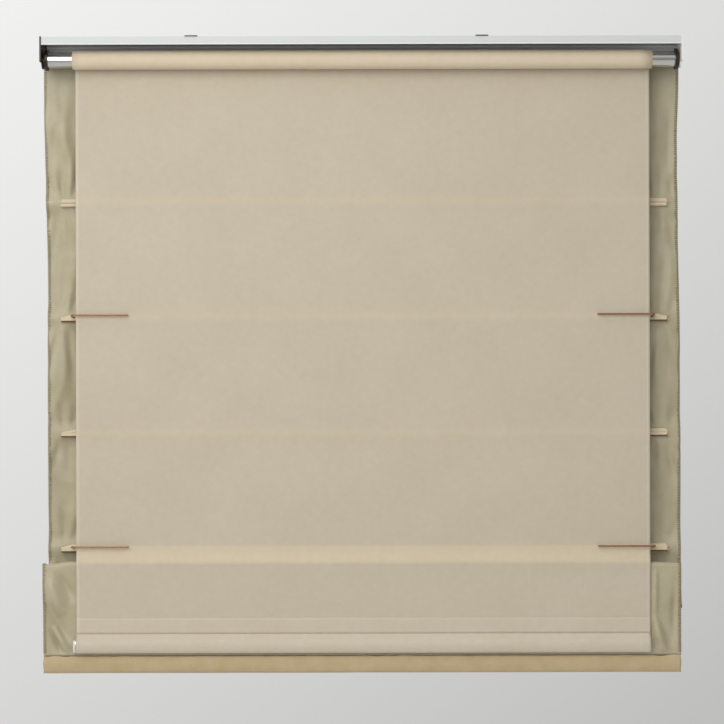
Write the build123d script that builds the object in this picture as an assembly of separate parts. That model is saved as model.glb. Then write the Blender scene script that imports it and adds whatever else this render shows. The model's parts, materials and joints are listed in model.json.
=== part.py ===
from build123d import *
from math import pi
import os

# Roman blind that hangs from a head rail and is raised by a backing sheet on a spring roller.
# X runs along the rail, -Y is the window side, +Y the room side, and Z is up from the rail's top.
# All sizes are in millimetres.

# Overall sizes: the width over the end plates, and the drop from the rail's top to the hem's lower edge
overall_width = 1000.0
drop = 996.0

# Head rail, a channel that is open downwards
plate_thickness = 2.5
gap_before_roll = 15.0
gap_behind_roll = 23.0
rail_wall = 1.4
window_flange_drop = 12.4
window_bead_radius = 1.3
room_plate_drop = 38.0
web_drop = 3.6
lip_reach = 5.0
lip_thickness = 1.2
port_inset = 8.0
port_outer_radius = 3.2
port_slot = 1.6

# End plates and their screws
plate_rim = 0.8
plate_corner = 2.0
plate_tongue_radius = 14.0
screw_shank_radius = 1.5
screw_length = 14.0
screw_head_radius = 2.8
screw_head_height = 1.3
screw_recess = 0.7

# Ceiling clips
clip_places = {"left": -264.5, "right": 187.5}
clip_width = 20.0
clip_thickness = 1.2
clip_tab = 1.6
clip_jaw_reach = 2.6
clip_hole_radius = 2.25
clip_corner = 2.0

# Roller
roller_y = -5.0
roller_z = -32.5
tube_radius = 12.5
tube_wall = 1.0
rib_width = 1.2
rib_height = 1.2
plug_flange_radius = 16.5
plug_flange_thickness = 4.5
plug_spigot_length = 30.0
bush_radius = 4.5
bush_flange_radius = 7.0
bush_flange_thickness = 2.0
end_play = 0.5
pin_radius = 3.0
pin_shank_radius = 2.3
pin_length = 28.0
tang_side = 4.2
roll_radius = 15.0
roll_overhang = 1.5
roll_tape_width = 12.0
roll_tape_thickness = 0.25

# Spring motor inside the roller
shaft_length = 190.0
anchor_radius = 9.0
anchor_length = 16.0
spring_wire_radius = 0.9
spring_mean_radius = 6.6
spring_pitch = 4.0

# Backing sheet and its bottom bar. A shift is how far a piece sits to the right of the rail's middle
bare_tube = 38.5
sheet_shift = 1.5
sheet_thickness = 0.4
bottom_bar_height = 20.0
bottom_bar_depth = 8.5
bottom_bar_wall = 1.0
bottom_bar_inset = 3.0
bottom_bar_shift = -3.0
bottom_bar_to_hem = 29.2
bottom_cap_thickness = 3.2
bottom_cap_spigot = 15.0
sheet_hem_height = 34.0

# Outer panel: a face fabric with a lining on its window side, and one gathered pleat near the bottom
panel_inset = 0.0
panel_top_z = -3.0
face_thickness = 0.8
lining_thickness = 0.4
cloth_gap = 0.3
crest_below_rod = 18.2
low_bend_radius = 6.5
crest_radius = 4.95
hem_bar_height = 25.0
hem_bar_depth = 8.5
hem_bar_wall = 1.2
hem_bar_inset = 8.0

# Hook-and-loop tape
top_tape_height = 25.0
top_tape_drop = 8.0
tape_thickness = 1.2
bar_tape_height = 14.0
bar_tape_thickness = 0.85
bar_tape_inset = 6.0

# Rods in their sleeves, and the wire guides of rows 2 and 4
first_rod_z = -257.0
last_rod_above_hem = 191.5
rod_count = 4
rod_radius = 2.25
rod_overhang = 27.0
rod_shift = 5.0
sleeve_height = 13.0
sleeve_depth = 6.5
sleeve_wall = 0.4
sleeve_overhang = 3.0
guide_rows = (2, 4)
guide_wire_radius = 1.5
guide_sheet_gap = 3.8
guide_slit = 0.2
guide_front_rise = 8.0
guide_rear_rise = 4.6
guide_bend_radius = 6.0
guide_edge_clearance = 9.0
guide_front_reach = 82.0
guide_rear_reach = 50.0

# Clearances
running = 0.05
seated = 0.02
loose = 0.3
tape_gap = 0.05

# Places that follow from the sizes above
rail_window_y = roller_y - roll_radius - gap_before_roll
rail_room_y = roller_y + roll_radius + gap_behind_roll
half_width = overall_width / 2
plate_inner_x = half_width - plate_thickness
plug_outer_x = plate_inner_x - end_play - bush_flange_thickness
tube_end_x = plug_outer_x - plug_flange_thickness
tube_bore = tube_radius - tube_wall
port_z = -web_drop - rail_wall - port_outer_radius + 0.4
port_places = (rail_window_y + port_inset, rail_room_y - port_inset)
port_radius = screw_shank_radius + running

sheet_width = 2 * (tube_end_x - bare_tube)
sheet_y = roller_y + roll_radius + loose + sheet_thickness / 2
bottom_bar_y = sheet_y - sheet_thickness / 2 - loose - bottom_bar_depth / 2
bottom_bar_length = sheet_width - 2 * bottom_bar_inset

hem_z = -drop + hem_bar_height / 2 + loose + face_thickness
hem_top_z = hem_z + hem_bar_height / 2 + loose + face_thickness
bottom_bar_z = hem_z + bottom_bar_to_hem
last_rod_z = -drop + last_rod_above_hem
rod_pitch = (first_rod_z - last_rod_z) / (rod_count - 1)
rod_length = sheet_width + 2 * rod_overhang

lining_y = rail_room_y + 2 * (tape_thickness + tape_gap) + loose + lining_thickness / 2
layer_step = (lining_thickness + face_thickness) / 2 + cloth_gap
face_y = lining_y + layer_step
rise_y = face_y - 2 * low_bend_radius
fall_y = rise_y - 2 * crest_radius
crest_centre_z = last_rod_z - crest_below_rod - crest_radius - layer_step - lining_thickness / 2
low_centre_z = (last_rod_z + crest_centre_z + pi * (low_bend_radius + crest_radius) - rod_pitch) / 2
panel_width = overall_width - 2 * panel_inset

sleeve_y = lining_y - lining_thickness / 2 - loose - sleeve_depth / 2
sleeve_rise = sleeve_height / 2 - sleeve_wall - rod_radius - loose


def block(y_low, y_high, z_low, z_high):
    """A rectangle in the plane across the rail, from its limits in Y and Z."""
    return Pos((y_low + y_high) / 2, (z_low + z_high) / 2) * Rectangle(y_high - y_low, z_high - z_low)


def along_x(profile, start, end):
    """A profile across the rail, drawn out along X."""
    return extrude(Plane.YZ.offset(start) * profile, end - start)


def round_bar(radius, start, end, y=roller_y, z=roller_z):
    return along_x(Pos(y, z) * Circle(radius), start, end)


def oval(height, depth, grow=0.0):
    return Ellipse(depth / 2 + grow, height / 2 + grow)


def left_of(piece):
    """The same piece at the other end of the rail."""
    return mirror(piece, about=Plane.YZ)


def rail_profile():
    profile = block(rail_window_y, rail_window_y + rail_wall, -window_flange_drop, 0)
    profile += block(rail_room_y - rail_wall, rail_room_y, -room_plate_drop, 0)
    profile += block(rail_window_y, rail_room_y, -web_drop - rail_wall, -web_drop)
    profile += block(rail_window_y, rail_window_y + lip_reach, -lip_thickness, 0)
    profile += block(rail_room_y - lip_reach, rail_room_y, -lip_thickness, 0)
    bead_z = -window_flange_drop + window_bead_radius
    profile += Pos(rail_window_y + window_bead_radius / 2, bead_z) * Circle(window_bead_radius)
    for y in port_places:
        profile += Pos(y, port_z) * Circle(port_outer_radius)
    for y in port_places:
        profile -= Pos(y, port_z) * Circle(port_radius)
        profile -= block(y - port_slot / 2, y + port_slot / 2, port_z - port_outer_radius, port_z)
    return profile


def head_rail():
    return along_x(rail_profile(), -plate_inner_x, plate_inner_x)


def screw_head(outer_x, y, grow=0.0):
    """A countersunk head, or with some growth the sink that it sits in."""
    foot, rim = screw_shank_radius + grow, screw_head_radius + grow
    cone = Cone(foot, rim, screw_head_height, align=(Align.CENTER, Align.CENTER, Align.MAX))
    return Pos(outer_x, y, port_z) * Rot(0, 90, 0) * cone


def end_plate(socket):
    """The right-hand plate. The socket takes the pin or the spring shaft."""
    body = block(rail_window_y - plate_rim, rail_room_y + plate_rim, -room_plate_drop - plate_rim, plate_rim)
    body = fillet(body.vertices(), plate_corner)
    body += Pos(roller_y, roller_z) * Circle(plate_tongue_radius)
    body -= Pos(roller_y, roller_z) * socket
    for y in port_places:
        body -= Pos(y, port_z) * Circle(screw_shank_radius + running)
    plate = along_x(body, plate_inner_x, half_width)
    for y in port_places:
        plate -= screw_head(half_width, y, 3 * running)
    return plate


def end_plate_screws():
    screws = []
    for y in port_places:
        screw = round_bar(screw_shank_radius, half_width - screw_length, half_width - running, y, port_z)
        screw += screw_head(half_width - running, y)
        slot = Box(screw_recess, screw_recess, 2 * screw_shank_radius)
        screw -= Pos(half_width - running - screw_recess / 2, y, port_z) * slot
        screws += [screw, left_of(screw)]
    return Compound(children=[s.solid() for s in screws])


def ceiling_clip(place):
    """One strip of spring steel: a flat top, and two jaws that hook under the rail's lips."""
    low_z, high_z = loose, loose + clip_thickness
    jaw_high_z = -lip_thickness - running
    jaw_low_z = jaw_high_z - clip_thickness
    window_jaw_y = rail_window_y + lip_reach + loose
    room_jaw_y = rail_room_y - lip_reach - loose
    profile = block(rail_window_y - clip_tab, room_jaw_y, low_z, high_z)
    profile += block(window_jaw_y, window_jaw_y + clip_thickness, jaw_low_z, high_z)
    profile += block(window_jaw_y - clip_jaw_reach, window_jaw_y + clip_thickness, jaw_low_z, jaw_high_z)
    profile += block(room_jaw_y - clip_thickness, room_jaw_y, jaw_low_z, high_z)
    profile += block(room_jaw_y - clip_thickness, room_jaw_y + clip_jaw_reach, jaw_low_z, jaw_high_z)
    clip = along_x(profile, place - clip_width / 2, place + clip_width / 2)
    clip = fillet(clip.edges().filter_by(Axis.Z).group_by(Axis.Y)[0], clip_corner)
    hole_y = (window_jaw_y + room_jaw_y) / 2
    return clip - Pos(place, hole_y, high_z) * Cylinder(clip_hole_radius, 4 * clip_thickness)


def tape(y_low, thickness, z_low, z_high, start, end):
    return along_x(block(y_low, y_low + thickness, z_low, z_high), start, end)


def panel_path(offset):
    """One line of the panel's section, at a distance from the face fabric's middle towards the lining."""
    y_main, y_rise, y_fall = face_y - offset, rise_y + offset, fall_y - offset
    low_y, high_y = (y_main + y_rise) / 2, (y_rise + y_fall) / 2
    low_r, high_r = low_bend_radius - offset, crest_radius + offset
    return [
        Line((y_main, panel_top_z), (y_main, low_centre_z)),
        ThreePointArc((y_main, low_centre_z), (low_y, low_centre_z - low_r), (y_rise, low_centre_z)),
        Line((y_rise, low_centre_z), (y_rise, crest_centre_z)),
        ThreePointArc((y_rise, crest_centre_z), (high_y, crest_centre_z + high_r), (y_fall, crest_centre_z)),
    ]


def panel_layer(middle, thickness, end_z):
    """A layer of the folded panel, as a thin closed section down to a given height."""
    near, far = middle - thickness / 2, middle + thickness / 2
    near_y, far_y = fall_y - near, fall_y - far
    edges = panel_path(near) + panel_path(far)
    edges += [Line((near_y, crest_centre_z), (near_y, end_z)), Line((far_y, crest_centre_z), (far_y, end_z))]
    edges += [Line((near_y, end_z), (far_y, end_z))]
    edges += [Line((face_y - near, panel_top_z), (face_y - far, panel_top_z))]
    return make_face(edges)


def face_panel():
    """The face fabric, turned up round the hem bar on the window side."""
    pocket = oval(hem_bar_height, hem_bar_depth, loose + face_thickness)
    pocket -= oval(hem_bar_height, hem_bar_depth, loose)
    section = panel_layer(0, face_thickness, hem_top_z - face_thickness / 2)
    section += Pos(fall_y, hem_z) * pocket
    return along_x(section, -panel_width / 2, panel_width / 2)


def lining_panel():
    section = panel_layer(layer_step, lining_thickness, hem_top_z + cloth_gap)
    return along_x(section, -panel_width / 2, panel_width / 2)


def back_sheet():
    """The sheet down from the roll, with its lower end turned up on the window side round the bottom bar."""
    rear_y = sheet_y + sheet_thickness / 2
    pocket_top_z = bottom_bar_z + bottom_bar_height / 2 + loose + sheet_thickness
    section = block(rear_y - sheet_thickness, rear_y, bottom_bar_z, roller_z)
    turned_top_z = pocket_top_z + sheet_hem_height
    section += block(rear_y - 2 * sheet_thickness, rear_y, bottom_bar_z, turned_top_z)
    ring = oval(bottom_bar_height, bottom_bar_depth, loose + sheet_thickness)
    section += Pos(bottom_bar_y, bottom_bar_z) * ring
    section -= Pos(bottom_bar_y, bottom_bar_z) * oval(bottom_bar_height, bottom_bar_depth, loose)
    return along_x(section, sheet_shift - sheet_width / 2, sheet_shift + sheet_width / 2)


def roller_tube():
    profile = Circle(tube_radius) - Circle(tube_bore)
    rib = block(-rib_width / 2, rib_width / 2, tube_bore - rib_height, tube_bore + tube_wall / 2)
    profile += [rib, Rot(0, 0, 180) * rib]
    return along_x(Pos(roller_y, roller_z) * profile, -tube_end_x, tube_end_x)


def end_plug():
    """The right-hand plug: a flange, and a spigot that the tube's ribs drive."""
    slot_half = rib_width / 2 + running
    slot = block(-slot_half, slot_half, tube_bore - rib_height - running, tube_radius)
    spigot = Circle(tube_bore - running) - [slot, Rot(0, 0, 180) * slot]
    plug = round_bar(plug_flange_radius, tube_end_x, plug_outer_x)
    plug = chamfer(plug.edges().group_by(Axis.X)[-1], 0.6)
    plug += along_x(Pos(roller_y, roller_z) * spigot, tube_end_x - plug_spigot_length, tube_end_x)
    return plug - round_bar(bush_radius + seated, tube_end_x - plug_spigot_length, plug_outer_x)


def bearing_bush():
    bush = round_bar(bush_radius, tube_end_x - plug_spigot_length, plug_outer_x)
    bush += round_bar(bush_flange_radius, plug_outer_x, plug_outer_x + bush_flange_thickness)
    return bush - round_bar(pin_radius + running, tube_end_x - plug_spigot_length, half_width)


def idle_pin():
    """The pin that the left end of the roller turns on, riveted into its plate."""
    pin = round_bar(pin_radius, plate_inner_x - pin_length, plate_inner_x)
    pin = chamfer(pin.edges().group_by(Axis.X)[0], 0.6)
    return left_of(pin + round_bar(pin_shank_radius, plate_inner_x, half_width))


def spring_shaft():
    """The fixed shaft of the spring motor. Its square tang sits in the right-hand plate."""
    shaft = round_bar(pin_radius, plate_inner_x - shaft_length, plate_inner_x)
    tang = Pos(roller_y, roller_z) * Rectangle(tang_side, tang_side)
    return shaft + along_x(tang, plate_inner_x, half_width)


def spring_anchor():
    start = plate_inner_x - shaft_length
    anchor = round_bar(anchor_radius, start, start + anchor_length)
    anchor = chamfer(anchor.edges(), 0.8)
    return anchor - round_bar(pin_radius + seated, start, start + anchor_length)


def lift_spring():
    start = plate_inner_x - shaft_length + anchor_length + spring_wire_radius + loose
    end = tube_end_x - plug_spigot_length - spring_wire_radius - loose
    coil = Helix(spring_pitch, end - start, spring_mean_radius)
    wire = sweep(Plane(origin=coil @ 0, z_dir=coil % 0) * Circle(spring_wire_radius), path=coil)
    return Pos(start, roller_y, roller_z) * Rot(0, 90, 0) * wire


def roll_tape(grow=0.0):
    """The adhesive strip that holds the sheet to the tube, bent to the tube."""
    inner = tube_radius + seated - grow
    ring = Circle(inner + roll_tape_thickness + 2 * grow) - Circle(inner)
    strip = ring & block(-roll_tape_width / 2 - grow, roll_tape_width / 2 + grow, 0, 2 * tube_radius)
    ends = sheet_width / 2 + grow
    return along_x(Pos(roller_y, roller_z) * strip, sheet_shift - ends, sheet_shift + ends)


def sheet_roll():
    ends = sheet_width / 2 + roll_overhang
    roll = round_bar(roll_radius, sheet_shift - ends, sheet_shift + ends)
    roll -= round_bar(tube_radius + seated, sheet_shift - ends, sheet_shift + ends)
    return roll - roll_tape(seated)


def rod_z(row):
    return first_rod_z - (row - 1) * rod_pitch


def rod(row):
    half = rod_length / 2
    bar = round_bar(rod_radius, rod_shift - half, rod_shift + half, sleeve_y, rod_z(row))
    return chamfer(bar.edges(), 0.5)


def guide(row, side, grow=0.0):
    """A hairpin of wire: one leg lies in the sleeve, and the other on the sheet's window side."""
    radius = guide_wire_radius + grow
    sheet_edge = sheet_shift + side * sheet_width / 2
    rear_y = sleeve_y - sleeve_depth / 2 + sleeve_wall + loose + guide_wire_radius
    bend_x = sheet_edge + side * (guide_edge_clearance - guide_wire_radius)
    front_y = sheet_y - sheet_thickness / 2 - guide_sheet_gap - guide_wire_radius
    rear = (rear_y, rod_z(row) + guide_rear_rise)
    front = (front_y, rod_z(row) + guide_front_rise)
    corners = [
        (sheet_edge - side * guide_rear_reach, *rear),
        (bend_x, *rear),
        (bend_x, *front),
        (sheet_edge - side * guide_front_reach, *front),
    ]
    path = FilletPolyline(*corners, radius=guide_bend_radius)
    wire = sweep(Plane(origin=path @ 0, z_dir=path % 0) * Circle(radius), path=path)
    return wire + [Pos(*corners[0]) * Sphere(radius), Pos(*corners[-1]) * Sphere(radius)]


def rod_sleeve(row):
    """A flat tube of tape, sewn to the lining, with slits where the guides leave it."""
    outer = RectangleRounded(sleeve_depth, sleeve_height, sleeve_depth / 2 - 0.01)
    bore_depth = sleeve_depth - 2 * sleeve_wall
    outer -= RectangleRounded(bore_depth, sleeve_height - 2 * sleeve_wall, bore_depth / 2 - 0.01)
    half = rod_length / 2 + sleeve_overhang
    middle_z = rod_z(row) + sleeve_rise
    sleeve = along_x(Pos(sleeve_y, middle_z) * outer, rod_shift - half, rod_shift + half)
    if row in guide_rows:
        sleeve -= [guide(row, side, guide_slit) for side in (-1, 1)]
    return sleeve


def bottom_bar():
    section = oval(bottom_bar_height, bottom_bar_depth)
    section -= oval(bottom_bar_height, bottom_bar_depth, -bottom_bar_wall)
    ends = (bottom_bar_shift + side * bottom_bar_length / 2 for side in (-1, 1))
    return along_x(Pos(bottom_bar_y, bottom_bar_z) * section, *ends)


def hem_bar():
    section = oval(hem_bar_height, hem_bar_depth) - oval(hem_bar_height, hem_bar_depth, -hem_bar_wall)
    end = panel_width / 2 - hem_bar_inset
    return along_x(Pos(fall_y, hem_z) * section, -end, end)


def bottom_bar_cap(side):
    """A moulded cap with the bar's own outline, and a spigot in its bore."""
    bar_end = bottom_bar_shift + side * bottom_bar_length / 2
    outer, inner = bar_end + side * bottom_cap_thickness, bar_end - side * bottom_cap_spigot
    place = Pos(bottom_bar_y, bottom_bar_z)
    head = along_x(place * oval(bottom_bar_height, bottom_bar_depth), *sorted((bar_end, outer)))
    head = fillet(head.edges().sort_by(lambda e: side * e.center().X)[-1], 1.0)
    plug = oval(bottom_bar_height, bottom_bar_depth, -bottom_bar_wall - running)
    return head + along_x(place * plug, *sorted((inner, bar_end)))


def pieces():
    """Each node's name and its solid."""
    pin_hole = Circle(pin_shank_radius + running)
    tang_hole = Rectangle(tang_side + 2 * running, tang_side + 2 * running)
    top_tape = (-top_tape_drop - top_tape_height, -top_tape_drop, -plate_inner_x, plate_inner_x)
    bar_tape_x = sheet_width / 2 - bar_tape_inset
    bar_tape_z = bottom_bar_z - bar_tape_height / 2
    bar_tape = (bar_tape_z, bar_tape_z + bar_tape_height, sheet_shift - bar_tape_x, sheet_shift + bar_tape_x)
    bar_hook_y = sheet_y + sheet_thickness / 2 + 4 * tape_gap
    made = {
        "head_rail": head_rail(),
        "end_plate_left": left_of(end_plate(pin_hole)),
        "end_plate_right": end_plate(tang_hole),
        "end_plate_screws": end_plate_screws(),
        "rail_hook_tape": tape(rail_room_y, tape_thickness, *top_tape),
        "panel_loop_tape": tape(rail_room_y + tape_thickness + tape_gap, tape_thickness, *top_tape),
        "face_panel": face_panel(),
        "lining_panel": lining_panel(),
        "back_sheet": back_sheet(),
        "idle_pin": idle_pin(),
        "spring_shaft": spring_shaft(),
        "spring_anchor": spring_anchor(),
        "lift_spring": lift_spring(),
        "roller_tube": roller_tube(),
        "end_plug_left": left_of(end_plug()),
        "end_plug_right": end_plug(),
        "bearing_bush_left": left_of(bearing_bush()),
        "bearing_bush_right": bearing_bush(),
        "sheet_roll": sheet_roll(),
        "roll_tape": roll_tape(),
        "bottom_bar": bottom_bar(),
        "bottom_bar_cap_left": bottom_bar_cap(-1),
        "bottom_bar_cap_right": bottom_bar_cap(1),
        "hem_bar": hem_bar(),
        "bar_hook_tape": tape(bar_hook_y, bar_tape_thickness, *bar_tape),
        "bar_loop_tape": tape(bar_hook_y + bar_tape_thickness + tape_gap, bar_tape_thickness, *bar_tape),
    }
    for name, place in clip_places.items():
        made[f"ceiling_clip_{name}"] = ceiling_clip(place)
    for row in range(1, rod_count + 1):
        made[f"rod_{row}"] = rod(row)
        made[f"rod_sleeve_{row}"] = rod_sleeve(row)
    for row in guide_rows:
        made[f"guide_left_{row}"] = guide(row, -1)
        made[f"guide_right_{row}"] = guide(row, 1)
    return made


os.makedirs("parts", exist_ok=True)
for name, piece in pieces().items():
    export_step(piece, f"parts/{name}.step")
    print(f"{name}: {len(piece.solids())} solid(s), {piece.volume / 1000:.2f} cm3")
print(f"panel layers at y {face_y:.2f}, {rise_y:.2f} and {fall_y:.2f}; sheet at y {sheet_y:.2f}")
print(f"rod pitch {rod_pitch:.1f}, bottom bar z {bottom_bar_z:.1f}, hem z {hem_z:.1f}, sheet {sheet_width:.1f}")
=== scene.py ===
# %% [markdown]
# # A roman blind, seen from its window side
# This blind hangs from a head rail. A spring roller in the rail winds up a cream backing sheet, and the
# lined outer panel follows it, because four rods in sewn sleeves hold the two together. The hard pieces
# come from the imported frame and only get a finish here. The cloths are made here, at their real size, in
# metres, in the frame's own place.

# %% Frame
import json
import math

import bmesh
import bpy
import numpy as np
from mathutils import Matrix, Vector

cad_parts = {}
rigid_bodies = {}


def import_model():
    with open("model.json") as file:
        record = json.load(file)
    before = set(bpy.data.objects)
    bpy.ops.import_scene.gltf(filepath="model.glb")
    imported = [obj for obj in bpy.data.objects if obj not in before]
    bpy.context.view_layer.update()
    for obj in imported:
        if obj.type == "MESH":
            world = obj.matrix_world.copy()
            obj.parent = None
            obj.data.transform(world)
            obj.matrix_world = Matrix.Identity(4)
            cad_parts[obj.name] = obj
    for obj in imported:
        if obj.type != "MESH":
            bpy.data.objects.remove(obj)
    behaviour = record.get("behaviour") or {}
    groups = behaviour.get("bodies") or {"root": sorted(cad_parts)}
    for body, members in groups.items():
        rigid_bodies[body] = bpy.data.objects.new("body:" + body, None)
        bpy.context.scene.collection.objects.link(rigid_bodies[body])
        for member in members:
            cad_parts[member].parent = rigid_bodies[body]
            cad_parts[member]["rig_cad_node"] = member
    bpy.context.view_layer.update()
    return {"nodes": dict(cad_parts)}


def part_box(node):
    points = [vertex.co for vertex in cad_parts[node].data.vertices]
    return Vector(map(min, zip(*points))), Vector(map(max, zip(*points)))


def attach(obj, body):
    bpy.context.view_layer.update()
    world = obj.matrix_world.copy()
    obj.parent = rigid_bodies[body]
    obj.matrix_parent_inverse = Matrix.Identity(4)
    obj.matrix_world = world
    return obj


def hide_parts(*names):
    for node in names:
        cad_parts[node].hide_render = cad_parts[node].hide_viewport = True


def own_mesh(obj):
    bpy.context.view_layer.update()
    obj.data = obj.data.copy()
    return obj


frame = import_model()
mm = 0.001

# %% [markdown]
# ## Values that the cloths share
# A piece of cloth takes its place from the hard pieces beside it, so most values come from the boxes of
# the CAD nodes. What a box can't say, such as the thickness of a cloth or the height of the last pleat,
# is named once here.

# %% Sizes from the frame
lining_low, lining_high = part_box("lining_panel")
face_low, face_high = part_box("face_panel")
sheet_low, sheet_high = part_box("back_sheet")
roll_low, roll_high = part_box("sheet_roll")
lining_cloth = 0.4 * mm
face_cloth = 0.8 * mm
sheet_cloth = 0.4 * mm
panel_top = face_high.z
main_y = face_high.y - face_cloth / 2
ply_gap = 0.9 * mm
rod_rows = (1, 2, 3, 4)
rods = {row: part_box(f"rod_{row}") for row in rod_rows}
rod_z = {row: (low.z + high.z) / 2 for row, (low, high) in rods.items()}
rod_y = (rods[1][0].y + rods[1][1].y) / 2
roller_z = (roll_low.z + roll_high.z) / 2
roller_y = (roll_low.y + roll_high.y) / 2
rail_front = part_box("head_rail")[0].y
lip_top = -11.0 * mm
print("rods at z", [round(z, 4) for z in rod_z.values()], "panel from z", round(panel_top, 4))

# %% The last pleat and the two pockets
bend_radius = 6.5 * mm
bend_z = -889.9 * mm
crest_radius = 4.95 * mm
crest_z = -828.75 * mm
rise_y = main_y - 2 * bend_radius
fall_y = rise_y - 2 * crest_radius
hem_top = -968.8 * mm
pocket_top = -934.0 * mm
ply_top = -908.5 * mm
sheet_y = sheet_high.y - sheet_cloth / 2
sheet_top = sheet_high.z
crest_top = crest_z + crest_radius + ply_gap
sleeve_rise = 9.5 * mm
ply_lift = sheet_cloth + 0.05 * mm

# %% [markdown]
# ## Small helpers
# Colours are chosen as sRGB hex, as on a paint card, and shaders work in linear light, so one function
# turns one into the other. One function adds a node with its settings and links, for materials and for
# geometry alike.

# %% Colour and node helpers
def linear(code):
    """A hex colour such as "c8bda7" as linear red, green, blue and alpha."""
    parts = [int(code[i:i + 2], 16) / 255 for i in (0, 2, 4)]
    return [p / 12.92 if p <= 0.04045 else ((p + 0.055) / 1.055) ** 2.4 for p in parts] + [1.0]


def add(tree, kind, inputs=None, **settings):
    """Add a node. A value in inputs is linked if it is a socket and set if it isn't."""
    node = tree.nodes.new(kind)
    for name, value in settings.items():
        setattr(node, name, value)
    for name, value in (inputs or {}).items():
        if isinstance(value, bpy.types.NodeSocket):
            tree.links.new(value, node.inputs[name])
        else:
            node.inputs[name].default_value = value
    return node


print("linear cream:", [round(v, 3) for v in linear("c8bda7")])


# %% A grid of points made into a cloth with two faces and cut edges
def mesh_object(name, points, faces, flat_faces=0, uv=None):
    """A mesh object at the origin, with its last flat_faces faces flat and uv one pair a point."""
    mesh = bpy.data.meshes.new(name)
    mesh.from_pydata([tuple(p) for p in points], [], faces)
    smooth = np.ones(len(mesh.polygons), bool)
    smooth[len(smooth) - flat_faces:] = False
    mesh.polygons.foreach_set("use_smooth", smooth)
    if uv is not None:
        corners = np.zeros(len(mesh.loops), np.int32)
        mesh.loops.foreach_get("vertex_index", corners)
        layer = mesh.uv_layers.new(name="cloth")
        layer.data.foreach_set("uv", np.asarray(uv, np.float32)[corners].ravel())
    mesh.update()
    piece = bpy.data.objects.new(name, mesh)
    bpy.context.scene.collection.objects.link(piece)
    return piece


def normals(surface, closed=False):
    """Unit normals of a grid of points whose rows run down and columns along X.

    In a closed one the last row is the first again."""
    down = np.gradient(surface, axis=0)
    if closed:
        ring = surface[:-1]
        down[:-1] = (np.roll(ring, -1, axis=0) - np.roll(ring, 1, axis=0)) / 2
        down[-1] = down[0]
    across = np.cross(down, np.gradient(surface, axis=1))
    return across / np.linalg.norm(across, axis=2, keepdims=True)


def shell(middle, thickness, flat, closed=False):
    """Points, faces, edge face count and uv of a cloth, from its middle surface, a grid as above."""
    rows, columns = middle.shape[:2]
    normal = normals(middle, closed)
    points = np.concatenate([(middle + normal * thickness / 2).reshape(-1, 3),
                             (middle - normal * thickness / 2).reshape(-1, 3)])
    index = np.arange(rows * columns).reshape(rows, columns)
    a, b, c, d = index[:-1, :-1], index[1:, :-1], index[1:, 1:], index[:-1, 1:]
    front = np.stack([a, b, c, d], -1).reshape(-1, 4)
    back = np.stack([a, d, c, b], -1).reshape(-1, 4) + rows * columns
    back_side = rows * columns
    rim = []
    for line in (index[:, -1], index[::-1, 0], index[0], index[-1][::-1])[:2 if closed else 4]:
        rim.append(np.stack([line[:-1], line[1:], line[1:] + back_side, line[:-1] + back_side], -1))
    rim = np.concatenate(rim)
    faces = np.concatenate([front, back, rim]).tolist()
    return points, faces, len(rim), np.concatenate([flat.reshape(-1, 2)] * 2)


def cloth_piece(name, shells, closed=False):
    """One object from one or more shells, with every cut edge shaded flat and a closed seam welded."""
    points, smooth_faces, edge_faces, uv, start = [], [], [], [], 0
    for shell_points, faces, rim, shell_uv in shells:
        moved = [[corner + start for corner in face] for face in faces]
        points.append(shell_points)
        uv.append(shell_uv)
        smooth_faces += moved[:len(moved) - rim]
        edge_faces += moved[len(moved) - rim:]
        start += len(shell_points)
    piece = mesh_object(name, np.concatenate(points), smooth_faces + edge_faces, len(edge_faces),
                        np.concatenate(uv))
    if closed:
        weld = bmesh.new()
        weld.from_mesh(piece.data)
        bmesh.ops.remove_doubles(weld, verts=weld.verts, dist=0.002 * mm)
        weld.to_mesh(piece.data)
        weld.free()
    print(f"{name}: {len(piece.data.polygons)} faces")
    return piece


# %% [markdown]
# ## Camera, floor and light
# The camera stands 3.2 m in front of the blind, at half its height. The floor is pale and low. One large
# soft light hangs in front, to the upper left, and a second one lights the room side. A pale surround,
# brighter towards the upper left, fills the shadows, so that folds read as soft changes of tone.

# %% Camera
eye_distance = 3.2
eye_height = -0.5063
view_width = 1.1367
camera_roll = math.radians(0.13)
camera_data = bpy.data.cameras.new("camera")
camera_data.sensor_width = 36.0
camera_data.lens = camera_data.sensor_width * eye_distance / view_width
camera = bpy.data.objects.new("camera", camera_data)
camera.location = (0.0, -eye_distance, eye_height)
camera.rotation_euler = (math.pi / 2, camera_roll, 0.0)
bpy.context.scene.collection.objects.link(camera)
bpy.context.scene.camera = camera
bpy.context.scene.view_settings.view_transform = "Standard"
print("lens", round(camera_data.lens, 1), "mm")


# %% Floor, surround and lights
def floor_material():
    """Matt painted board: pale and even, with a very slight mottling."""
    material = bpy.data.materials.new("matt_painted_board")
    material.use_nodes = True
    tree = material.node_tree
    place = add(tree, "ShaderNodeTexCoord")
    mottle = add(tree, "ShaderNodeTexNoise",
                 {"Vector": place.outputs["Object"], "Scale": 3.0, "Detail": 3.0})
    tone = add(tree, "ShaderNodeMix",
               {"Factor": mottle.outputs["Fac"], 6: linear("d6d6d3"), 7: linear("cfcfcb")}, data_type="RGBA")
    shader = tree.nodes["Principled BSDF"]
    tree.links.new(tone.outputs[2], shader.inputs["Base Color"])
    shader.inputs["Roughness"].default_value = 0.7
    return material


floor_z = -1.6
floor_corners = [(-3.0, -4.2, floor_z), (3.0, -4.2, floor_z), (3.0, 2.4, floor_z), (-3.0, 2.4, floor_z)]
floor = mesh_object("floor", floor_corners, [(0, 1, 2, 3)])
floor.data.materials.append(floor_material())

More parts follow.
